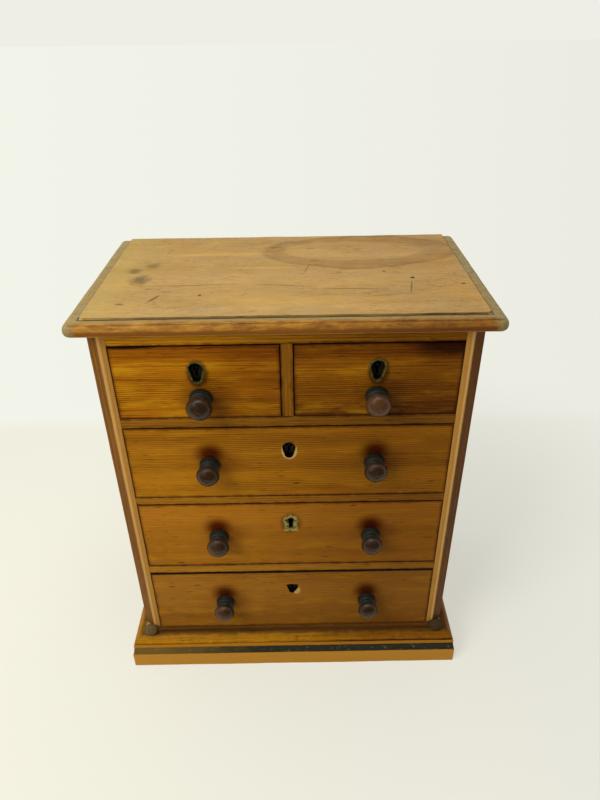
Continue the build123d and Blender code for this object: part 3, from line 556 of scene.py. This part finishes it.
# dirt and painted shade lie black in the recess round the field
below = node(m, "ShaderNodeMapRange", {"Value": inside, "From Min": -0.0018, "From Max": -0.0004})
above = node(m, "ShaderNodeMapRange", {"Value": inside, "From Min": 0.0004, "From Max": 0.0})
quirk = node(m, "ShaderNodeMath", {0: below, 1: above}, operation="MULTIPLY")
cover(top, quirk, "#1d1004", 0.9)
board = worn_copy("top_board", 0.0005, 0.0006, 0.006, "XY", 4)
# the nosing stands a little further forward of the drawers than the plain solid's, and the
# field's edge further still
for corner in board.data.vertices:
    if corner.co.y < front_y + 0.004:
        corner.co.y -= nose_forward + (field_forward if corner.co.z > high.z - field_rim else 0.0)
fit(board, "carcase", ["top_board"], "worn_top_pine", finish_wood(top, 0.45, 0.7, 0.2, 0.0004))


# ---- Bottom board: rounded front edge, dusty and worn at its corners ----
# It lies in the plinth; at each front corner old filler and dust have made a grey-green lump.
low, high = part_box("bottom_board")
pine = old_pine("dusty_pine_bottom_board", "#8a6026", "#6d4515", "#2f1a08", "X", 0.003, (0.03, 0.05, 0.02))
# grey-green dust at both front corners, the right one painted darker as shade, the light coming from the left
cover(pine, band(pine, "X", 0.124, 0.130, 0.004), "#5c5540", 0.9)
cover(pine, band(pine, "X", -0.124, -0.130, 0.004), "#93875c", 0.9)
stain(pine, band(pine, "Y", front_y + 0.004, front_y - 0.0005, 0.002), "#8a7048", 0.75)
grit = node(pine.material, "ShaderNodeTexNoise", {"Vector": pine.place, "Scale": 700.0, "Detail": 4.0},
            out="Fac")
grit = node(pine.material, "ShaderNodeMapRange", {"Value": grit, "From Min": 0.55, "From Max": 0.68})
cover(pine, grit, "#2b2414", 0.5)


def joined(pieces, name):
    """Several finished pieces as one, with one mesh."""
    bpy.ops.object.select_all(action="DESELECT")
    for piece in pieces:
        piece.select_set(True)
    bpy.context.view_layer.objects.active = pieces[0]
    if len(pieces) > 1:
        bpy.ops.object.join()
    pieces[0].name = name
    return pieces[0]


board = worn_copy("bottom_board", 0.0006, 0.0006, 0.005, "XY", 5)
lump_x, lump_y, lump_radius = 0.1342, -0.0760, 0.0058
for sign, lift in ((-1, 0.0396), (1, 0.0404)):
    bpy.ops.object.select_all(action="DESELECT")
    bpy.ops.mesh.primitive_uv_sphere_add(segments=32, ring_count=20, radius=lump_radius,
                                         location=(sign * lump_x, lump_y, lift))
    lump = bpy.context.object
    lump.scale = (1.08, 0.92, 0.9)
    bpy.ops.object.transform_apply(location=True, scale=True)
    crumbs = bpy.data.textures.new("crumbs", "CLOUDS")
    crumbs.noise_scale = 0.004
    crumbled = lump.modifiers.new("crumbled", "DISPLACE")
    crumbled.texture, crumbled.strength, crumbled.texture_coords = crumbs, 0.0016, "LOCAL"
    bpy.ops.object.modifier_apply(modifier=crumbled.name)
    bpy.ops.object.shade_smooth_by_angle(angle=math.radians(60))
    board = joined([board, lump], board.name)
fit(board, "carcase", ["bottom_board"], "carcase_pine", finish_wood(pine, 0.6, 0.8, 0.05, 0.0005))


# ---- Plinth: moulded pine boards mitred at the front corners, over a dark band ----
# Bright amber shellac, dented along the moulding, darker above its lower fillet.
for name, along in (("plinth_front", "X"), ("plinth_left", "Y"), ("plinth_right", "Y")):
    pine = old_pine("shellacked_pine_" + name, "#b57c10", "#936008", "#3c1e02", along, 0.0028,
                    (0.03, 0.03, 0.05), 0.5, 0.6)
    m = pine.material
    dents = node(m, "ShaderNodeTexNoise", {"Vector": pine.place, "Scale": 150.0, "Detail": 6.0,
                 "Roughness": 0.75}, out="Fac")
    pressed = node(m, "ShaderNodeMapRange", {"Value": dents, "From Min": 0.56, "From Max": 0.7})
    rubbed = node(m, "ShaderNodeMapRange", {"Value": dents, "From Min": 0.44, "From Max": 0.32})
    cover(pine, pressed, "#4a2402", 0.75)
    cover(pine, rubbed, "#c8921c", 0.5)
    # painted shade towards the right, as the light falls from the left
    stain(pine, band(pine, "X", -0.03, 0.09, 0.02), "#b8a890", 0.8)
    # from below: the rubbed foot, the gold fillet, the darker hollow over it, lighter at the left, the dark
    # top edge
    lighter_left = node(m, "ShaderNodeMapRange", {"Value": band(pine, "X", -0.02, 0.06, 0.03),
                        "To Min": 0.35})
    darkened = node(m, "ShaderNodeMath", {0: band(pine, "Z", 0.0295, 0.0278, 0.002), 1: lighter_left},
                 operation="MULTIPLY")
    stain(pine, darkened, "#7a4410", 0.9)
    cover(pine, band(pine, "Z", 0.0272, 0.0266, 0.0004, 200), "#b5791c", 0.85)
    cover(pine, band(pine, "Z", 0.0160, 0.0154), "#c08a30", 0.8)
    cover(pine, band(pine, "Z", 0.0336, 0.0350, 0.002), "#4a3010", 0.7)
    board = worn_copy(name, 0.0004, 0.0005, 0.005, along, 2)
    fit(board, "carcase", [name], "carcase_pine", finish_wood(pine, 0.33, 0.55, 0.06))

# The band is stained black and still glossy at the right, rubbed brown at the left.
low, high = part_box("plinth_band")
ebony = old_pine("black_stained_pine_band", "#26261a", "#1b1b12", "#0a0a08", "X", 0.003)
m = ebony.material
cover(ebony, band(ebony, "X", -0.02, -0.15, 0.10, 60), "#7a5f20", 0.8)
chips = node(m, "ShaderNodeMapping", {"Vector": ebony.place, "Scale": (0.5, 1, 1)})
chips = node(m, "ShaderNodeTexNoise", {"Vector": chips, "Scale": 420.0, "Detail": 5.0, "Roughness": 0.7},
             out="Fac")
chips = node(m, "ShaderNodeMapRange", {"Value": chips, "From Min": 0.60, "From Max": 0.72})
cover(ebony, chips, "#a08a4c", 0.7)
cover(ebony, band(ebony, "Z", high.z - 0.0014, high.z - 0.0009, 0.0006, 200), "#a87018", 0.9)
board = worn_copy("plinth_band", 0.0003, 0.0003, 0.006, "X", 2)
fit(board, "carcase", ["plinth_band"], "ebonised_wood", finish_wood(ebony, 0.3, 0.5, 0.12))


# ---- Hidden carcase parts: back boards, runners, kickers, stops, glue blocks ----
# Sawn pine that never had a finish: pale yellow, browned by age and dust.
def refinish(name, material):
    """Gives a piece that keeps its plain shape its own finish."""
    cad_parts[name].data.materials.clear()
    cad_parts[name].data.materials.append(material)


bare = old_pine("bare_pine_runners", "#c39a5e", "#a88049", "#7d5527", "Y", 0.0035)
finish_wood(bare, 0.65, 0.8, 0.2, 0.0005)
for name in ("centre_guide", "centre_runner", "side_runners", "top_kickers", "drawer_stops"):
    refinish(name, bare.material)
back = old_pine("bare_pine_back", "#a98046", "#8c652f", "#5c3a18", "Z", 0.004, (0.01, 0.08, 0))
low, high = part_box("back_boards")
stain(back, near_edges(back, low, high, "XZ", 0.01), "#8f7350", 0.8)
finish_wood(back, 0.6, 0.8, 0.2, 0.0005)
for name in ("back_boards", "plinth_back", "glue_blocks"):
    refinish(name, back.material)


# ---- Drawer fronts: pine boards with the grain across, shellacked, one keyhole each ----
# The upper rows are strongly grained, with fine ridges and gold patches; the lower two are
# smoother. Each knob has a painted shadow at its right, hands have left red-brown halos above
# the long drawers' knobs, and the gaps hold dirt and painted shade.
# pale, mid, dark, ring gap, lines, fibres, ridges, gold, painted shade at the right end of the board
fronts = {
    "upper_left": ("#c17a0a", "#985a05", "#4b2402", 0.0026, 0.8, 1.1, 0.75, 0.75, "#d8d0c8"),
    "upper_right": ("#915805", "#6a3a03", "#371a02", 0.0026, 0.8, 1.1, 0.7, 0.35, "#d8d0c8"),
    "second": ("#b47511", "#8f5808", "#4a2804", 0.0021, 0.7, 0.65, 0.6, 0.35, "#cfc8bc"),
    "third": ("#b3721a", "#97600f", "#54300a", 0.0030, 0.3, 0.4, 0.06, 0.3, "#cbc4b8"),
    "bottom": ("#a0691d", "#855311", "#52300a", 0.0034, 0.25, 0.4, 0.0, 0.35, "#d2ccc2"),
}
knob_spots = {"upper_left": [-0.065], "upper_right": [0.065], "second": [-0.0618, 0.0662],
              "third": [-0.0618, 0.0662], "bottom": [-0.0618, 0.0662]}
knob_heights = {"upper_left": 0.2941, "upper_right": 0.2941, "second": 0.2327, "third": 0.1557,
                "bottom": 0.07515}
ridge_gap = 0.0017
keyhole_drop = 0.0215
for number, (row, finish) in enumerate(fronts.items()):
    pale, mid, dark, gap, lines, fibres, ridges, gold, right_end_shade = finish
    name = row + "_drawer_front"
    low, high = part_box(name)
    pine = old_pine("shellacked_pine_" + name, pale, mid, dark, "X", gap,
                    (0.05 * number, 0.05 + 0.01 * number, -0.30 + 0.03 * number), lines, 0.75, fibres)
    m = pine.material
    drawn = node(m, "ShaderNodeMapping", {"Vector": pine.place, "Location": (0, 0, 0.07 * number),
                 "Scale": (0.22, 1, 1)})
    shining = node(m, "ShaderNodeTexNoise", {"Vector": drawn, "Scale": 95.0, "Detail": 4.0,
                   "Roughness": 0.65}, out="Fac")
    shining = node(m, "ShaderNodeMapRange", {"Value": shining, "From Min": 0.5, "From Max": 0.66})
    cover(pine, shining, "#c08a0e", gold)
    worked = node(m, "ShaderNodeMapping", {"Vector": pine.place, "Scale": (0.06, 1, 1)})
    ridge = node(m, "ShaderNodeTexWave", {"Vector": worked, "Scale": math.tau / (20 * ridge_gap),
                 "Distortion": 4.0, "Detail": 3.0, "Detail Scale": 0.5, "Detail Roughness": 0.6}, out="Fac",
                 bands_direction="Z")
    ridge = node(m, "ShaderNodeMapRange", {"Value": ridge, "From Min": 0.45, "From Max": 0.95})
    rubbed = node(m, "ShaderNodeTexNoise", {"Vector": drawn, "Scale": 60.0, "Detail": 3.0}, out="Fac")
    rubbed = node(m, "ShaderNodeMapRange", {"Value": rubbed, "From Min": 0.36, "From Max": 0.6,
                  "To Min": 0.15})
    ridge = node(m, "ShaderNodeMath", {0: ridge, 1: rubbed}, operation="MULTIPLY")
    if row.startswith("upper"):
        lower = band(pine, "Z", high.z - 0.012, high.z - 0.036, 0.01)
        lower = node(m, "ShaderNodeMapRange", {"Value": lower, "To Min": 0.35})
        ridge = node(m, "ShaderNodeMath", {0: ridge, 1: lower}, operation="MULTIPLY")
    cover(pine, ridge, dark, ridges)
    # painted shade towards the right end, as the light falls from the left
    start, end = (-0.10, 0.09) if len(knob_spots[row]) > 1 else (low.x + 0.05, high.x - 0.02)
    stain(pine, band(pine, "X", start, end), right_end_shade)
    # painted shadows at the knobs' right, brown on the short drawers; red-brown halos above the long drawers'
    for x in knob_spots[row]:
        z = knob_heights[row]
        if row.startswith("upper"):
            # a painted shadow of the knob, falling to its right
            halo_and_shadow = patch(pine, (x + 0.008, 0, z - 0.001), (0.017, 10, 0.013), soft=0.75)
            stain(pine, halo_and_shadow, "#6b4010", 0.6)
        else:
            halo_and_shadow = patch(pine, (x + 0.0005, 0, z + 0.0105), (0.0095, 10, 0.0085), soft=0.7)
            stain(pine, halo_and_shadow, "#701a08", 0.92)
            # a faint painted shadow of the knob to its right
            halo_and_shadow = patch(pine, (x + 0.009, 0, z + 0.001), (0.013, 10, 0.010), soft=0.8)
            stain(pine, halo_and_shadow, "#9a5e28", 0.45)
    edge = near_edges(pine, (low.x, 0, low.z), (high.x, 0, high.z), "XZ", 0.0022)
    stain(pine, edge, "#8a5a20", 0.6)
    if row.startswith("upper"):
        stain(pine, band(pine, "Z", high.z - 0.015, high.z - 0.008, 0.004), "#cbb8a0", 0.9)
    if row == "upper_left":
        # black painted along the top edge at the left end, as the shade of the wider gap at the chipped
        # corner
        gap_end = patch(pine, (low.x + 0.012, 0, high.z + 0.0004), (0.020, 10, 0.0018), soft=0.25,
                        ragged=0.3)
        cover(pine, gap_end, "#120a04", 0.9)
    if row == "upper_right":
        scorched = patch(pine, (0.118, 0, 0.336), (0.026, 10, 0.010), soft=0.5, ragged=0.4)
        stain(pine, scorched, "#6a4420", 0.9)
    if row == "bottom":
        # a black line painted along the top edge, as the shade of the wide gap above the bottom drawer
        cover(pine, band(pine, "Z", high.z - 0.0017, high.z - 0.0010, 0.0008, 40), "#120a04", 0.95)
    # the keyhole: a raw pale edge where it has lost its escutcheon, grime elsewhere, painted shade inside
    x, z = (low.x + high.x) / 2, high.z - keyhole_drop
    if row == "second":
        raw = patch(pine, (x + 0.0002, 0, z - 0.0007), (0.0061, 10, 0.0079), soft=0.07, ragged=0.12,
                    grain=300)
        cover(pine, raw, "#bb9a60", 0.85)
    elif row == "bottom":
        raw = patch(pine, (x + 0.0035, 0, z - 0.0030), (0.0034, 10, 0.0044), soft=0.25, ragged=0.5,
                    grain=400)
        cover(pine, raw, "#b99a58", 0.8)
    elif row == "third":
        grime = patch(pine, (x, 0, z), (0.0082, 10, 0.0105), soft=0.3, ragged=0.4, grain=300)
        stain(pine, grime, "#5a3c14", 0.6)
    else:
        grime = patch(pine, (x + 0.0008, 0, z - 0.0006), (0.0078, 10, 0.0108), soft=0.22, ragged=0.4,
                      grain=300)
        cover(pine, grime, "#1c1206", 0.75)
    # painted shade on the walls inside the keyhole
    behind = band(pine, "Y", front_y + 0.0002, front_y + 0.0006)
    hole = patch(pine, (x, 0, z), (0.010, 10, 0.012), soft=0.05)
    hole = node(m, "ShaderNodeMath", {0: behind, 1: hole}, operation="MULTIPLY")
    cover(pine, hole, "#050302", 0.98)
    # dirt and painted shade in the gaps round the drawer
    gap_dirt_and_shade(pine, front_y)
    board = worn_copy(name, 0.0005, 0.0002, 0.012, "XZ", number)
    fit(board, row + "_drawer", [name], "drawer_front_pine", finish_wood(pine, 0.36, 0.55, 0.05))


# ---- Knobs: turned hardwood, stained dark, a collar, a neck and a mushroom head ----
# Polished by hands on the head, greenish-black in the neck and on the collar.
turned = new_material("dark_stained_turned_hardwood")
spot = node(turned, "ShaderNodeTexCoord", out="Object")
mottle = node(turned, "ShaderNodeTexNoise", {"Vector": spot, "Scale": 160.0, "Detail": 5.0,
              "Roughness": 0.6}, out="Fac")
split = node(turned, "ShaderNodeSeparateXYZ", {0: spot}, out=None)
head = node(turned, "ShaderNodeMapRange", {"Value": split.outputs["Y"], "From Min": front_y - 0.0090,
            "From Max": front_y - 0.0125})
collar = node(turned, "ShaderNodeMix", {0: mottle, 6: linear("#0e0f0a"), 7: linear("#23251b")}, out=2,
              data_type="RGBA")
crown = node(turned, "ShaderNodeMix", {0: mottle, 6: linear("#1d1108"), 7: linear("#402913")}, out=2,
             data_type="RGBA")
# some heads are browner than others
browner = node(turned, "ShaderNodeTexNoise", {"Vector": spot, "Scale": 17.0, "Detail": 1.0}, out="Fac")
browner = node(turned, "ShaderNodeMapRange", {"Value": browner, "From Min": 0.5, "From Max": 0.68,
               "To Max": 0.4})
crown = node(turned, "ShaderNodeMix", {0: browner, 6: crown, 7: linear("#6a4426")}, out=2, data_type="RGBA")
tint = node(turned, "ShaderNodeMix", {0: head, 6: collar, 7: crown}, out=2, data_type="RGBA")
sheen = node(turned, "ShaderNodeMapRange", {"Value": mottle, "To Min": 0.16, "To Max": 0.36})
sheen = node(turned, "ShaderNodeMix", {0: head, 2: 0.5, 3: sheen})
grain = node(turned, "ShaderNodeBump", {"Strength": 0.4, "Distance": 0.0002, "Height": mottle})
polish = node(turned, "ShaderNodeBsdfPrincipled", {"Base Color": tint, "Roughness": sheen, "Normal": grain,
              "IOR": 1.5, "Specular IOR Level": 0.26}, out="BSDF")
node(turned, "ShaderNodeOutputMaterial", {"Surface": polish})

# half profile: distance out from the drawer front, radius, in millimetres
profile = [(-0.4, 5.0), (0.0, 8.0), (0.35, 8.25), (1.2, 8.1), (4.6, 7.9), (5.5, 7.7), (6.1, 7.1),
           (6.35, 6.3), (6.6, 5.9), (7.4, 5.45), (8.6, 5.3), (9.6, 5.6), (10.3, 6.3), (10.7, 7.4),
           (11.0, 8.3), (11.5, 8.85), (12.3, 9.05), (13.2, 9.0), (13.7, 8.75), (14.0, 8.65), (15.2, 8.2),
           (16.4, 7.3), (17.5, 6.0), (18.4, 4.3), (19.0, 2.6), (19.2, 1.3), (19.05, 0.7), (18.9, 0.0)]
bpy.ops.object.select_all(action="DESELECT")
bpy.ops.mesh.primitive_plane_add(size=0.001)
pattern = bpy.context.object
bpy.ops.object.mode_set(mode="EDIT")
bpy.ops.mesh.merge(type="CENTER")
bpy.ops.transform.translate(value=(profile[0][1] / 1000, front_y - profile[0][0] / 1000, 0))
for (out_a, r_a), (out_b, r_b) in zip(profile, profile[1:]):
    step = ((r_b - r_a) / 1000, (out_a - out_b) / 1000, 0)
    bpy.ops.mesh.extrude_vertices_move(TRANSFORM_OT_translate={"value": step})
bpy.ops.mesh.select_all(action="SELECT")
bpy.ops.mesh.spin(steps=64, angle=math.tau, center=(0, front_y, 0), axis=(0, 1, 0))
bpy.ops.mesh.select_all(action="SELECT")
bpy.ops.mesh.remove_doubles(threshold=1e-6)
bpy.ops.mesh.normals_make_consistent(inside=False)
bpy.ops.object.mode_set(mode="OBJECT")
bpy.ops.object.shade_smooth_by_angle(angle=math.radians(50))


def placed_copy(pattern, name, place):
    """A copy of a finished pattern with its own mesh, moved to its place."""
    piece = bpy.data.objects.new(name, pattern.data.copy())
    scene.collection.objects.link(piece)
    piece.data.transform(place)
    return piece


# each knob: shift right and up (mm), droop and turn (degrees), girth, length
knob_habits = {
    "upper_left": [(1.6, -0.3, 2.2, 1.0, 1.05, 1.07)],
    "upper_right": [(0.1, -0.2, 2.0, 0.0, 1.03, 1.05)],
    "second": [(-0.3, -0.2, 2.6, -1.0, 0.99, 1.06), (0.2, 0.0, 0.2, 0.5, 1.0, 1.0)],
    "third": [(0.8, -0.4, 0.8, 0.8, 1.02, 1.0), (1.0, -0.4, 1.2, 0.6, 0.98, 1.0)],
    "bottom": [(0.2, -0.6, 2.0, 0.4, 0.99, 1.02), (1.1, -0.5, 1.2, 0.8, 0.96, 1.0)],
}
foot = Matrix.Translation((0, front_y, 0))
for row, places in knob_spots.items():
    made = []
    for x, (right, up, droop, turn, girth, length) in zip(places, knob_habits[row]):
        size = Matrix.Diagonal((girth, length, girth, 1))
        tilt = Matrix.Rotation(math.radians(droop), 4, "X") @ Matrix.Rotation(math.radians(turn), 4, "Z")
        place = Matrix.Translation((x + right / 1000, 0, knob_heights[row] + up / 1000))
        made.append(placed_copy(pattern, row + "_knob", place @ foot @ tilt @ size @ foot.inverted()))
    knobs = joined(made, row + "_turned_knobs")
    fit(knobs, row + "_drawer", [row + "_knobs"], "turned_hardwood", turned)
bpy.data.objects.remove(pattern)


# ---- Escutcheons and locks: cast brass let in flush, steel bolts ----
# Old brass gone olive and brown, bright only in spots. The locks behind are hardly seen, their
# tarnish darkened further as painted shade inside the keyholes.
def old_metal(name, bright, dull, metallic, gloss, matt):
    """Metal with a patina in clouds about 2 mm across."""
    metal = new_material(name)
    where = node(metal, "ShaderNodeTexCoord", out="Object")
    cloud = node(metal, "ShaderNodeTexNoise", {"Vector": where, "Scale": 420.0, "Detail": 4.0,
                 "Roughness": 0.6}, out="Fac")
    share = node(metal, "ShaderNodeMapRange", {"Value": cloud, "From Min": 0.4, "From Max": 0.62})
    tint = node(metal, "ShaderNodeMix", {0: share, 6: linear(bright), 7: linear(dull)}, out=2,
                data_type="RGBA")
    rough = node(metal, "ShaderNodeMapRange", {"Value": share, "To Min": gloss, "To Max": matt})
    bumps = node(metal, "ShaderNodeBump", {"Strength": 0.5, "Distance": 0.0001, "Height": cloud})
    shader = node(metal, "ShaderNodeBsdfPrincipled", {"Base Color": tint, "Metallic": metallic,
                  "Roughness": rough, "Normal": bumps}, out="BSDF")
    node(metal, "ShaderNodeOutputMaterial", {"Surface": shader})
    return metal


escutcheon_brass = old_metal("cast_brass_olive_patina", "#a3954c", "#4c4626", 0.8, 0.35, 0.6)
# the lock plates are tarnished and darkened further as painted shade behind the keyholes
lock_brass_in_shade = old_metal("tarnished_brass_lock_plate", "#2e2818", "#14110a", 0.6, 0.5, 0.7)
lock_steel = old_metal("forged_steel_bolt", "#77736b", "#4a4038", 0.9, 0.4, 0.65)
lock_parts = {"_escutcheon": escutcheon_brass, "_lock_case": lock_brass_in_shade, "_lock_bolt": lock_steel}
for row in fronts:
    for part, metal in lock_parts.items():
        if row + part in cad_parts:
            refinish(row + part, metal)


# ---- Nails of the back: rusted iron, driven through the edges of the back boards ----
# Only the heads show, each a low dull brown dome in the wood, none quite in line.
low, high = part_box("back_boards")
nail_radius, nail_dome, nail_inset = 0.0016, 0.16, 0.007
nail_spots = [(x, z) for x in (-0.112, -0.062, -0.022, 0.020, 0.066, 0.110)
              for z in (low.z + nail_inset, high.z - nail_inset)]
nail_spots += [(x, z) for x in (low.x + 0.006, high.x - 0.006) for z in (0.085, 0.15, 0.21, 0.275)]
bpy.ops.object.select_all(action="DESELECT")
bpy.ops.mesh.primitive_uv_sphere_add(segments=20, ring_count=12, radius=nail_radius)
pattern = bpy.context.object
pattern.scale = (1.0, nail_dome, 0.92)
bpy.ops.object.transform_apply(scale=True)
bpy.ops.object.shade_smooth_by_angle(angle=math.radians(60))
nails = []
for number, (x, z) in enumerate(nail_spots):
    stray_x, stray_z = 0.0009 * math.sin(5.1 * number), 0.0008 * math.cos(3.7 * number)
    nails.append(placed_copy(pattern, "back_nail", Matrix.Translation((x + stray_x, high.y, z + stray_z))))
bpy.data.objects.remove(pattern)
nails = joined(nails, "rusted_back_nails")
nails.data.materials.append(old_metal("rusted_iron_nail", "#5a3c26", "#2c1a10", 0.3, 0.6, 0.85))
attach(nails, "carcase")


# ---- Drawer boxes: thin pine sides, back and bottom, never finished ----
# Pale dry pine with hardly any sheen, the grain along each side and across back and bottom.
box_pine = old_pine("bare_pine_drawer_sides", "#cfa76b", "#b88d50", "#8e6432", "Y", 0.003, (0.03, 0, 0.05))
finish_wood(box_pine, 0.6, 0.78, 0.2, 0.0003)
across = old_pine("bare_pine_drawer_backs", "#cba367", "#b58a4e", "#8b6230", "X", 0.0032, (0, 0.05, 0.02))
finish_wood(across, 0.6, 0.78, 0.2, 0.0003)
for row in fronts:
    for part, wood in (("_drawer_sides", box_pine), ("_drawer_back", across), ("_drawer_bottom", across)):
        refinish(row + part, wood.material)

bpy.ops.object.select_all(action="DESELECT")
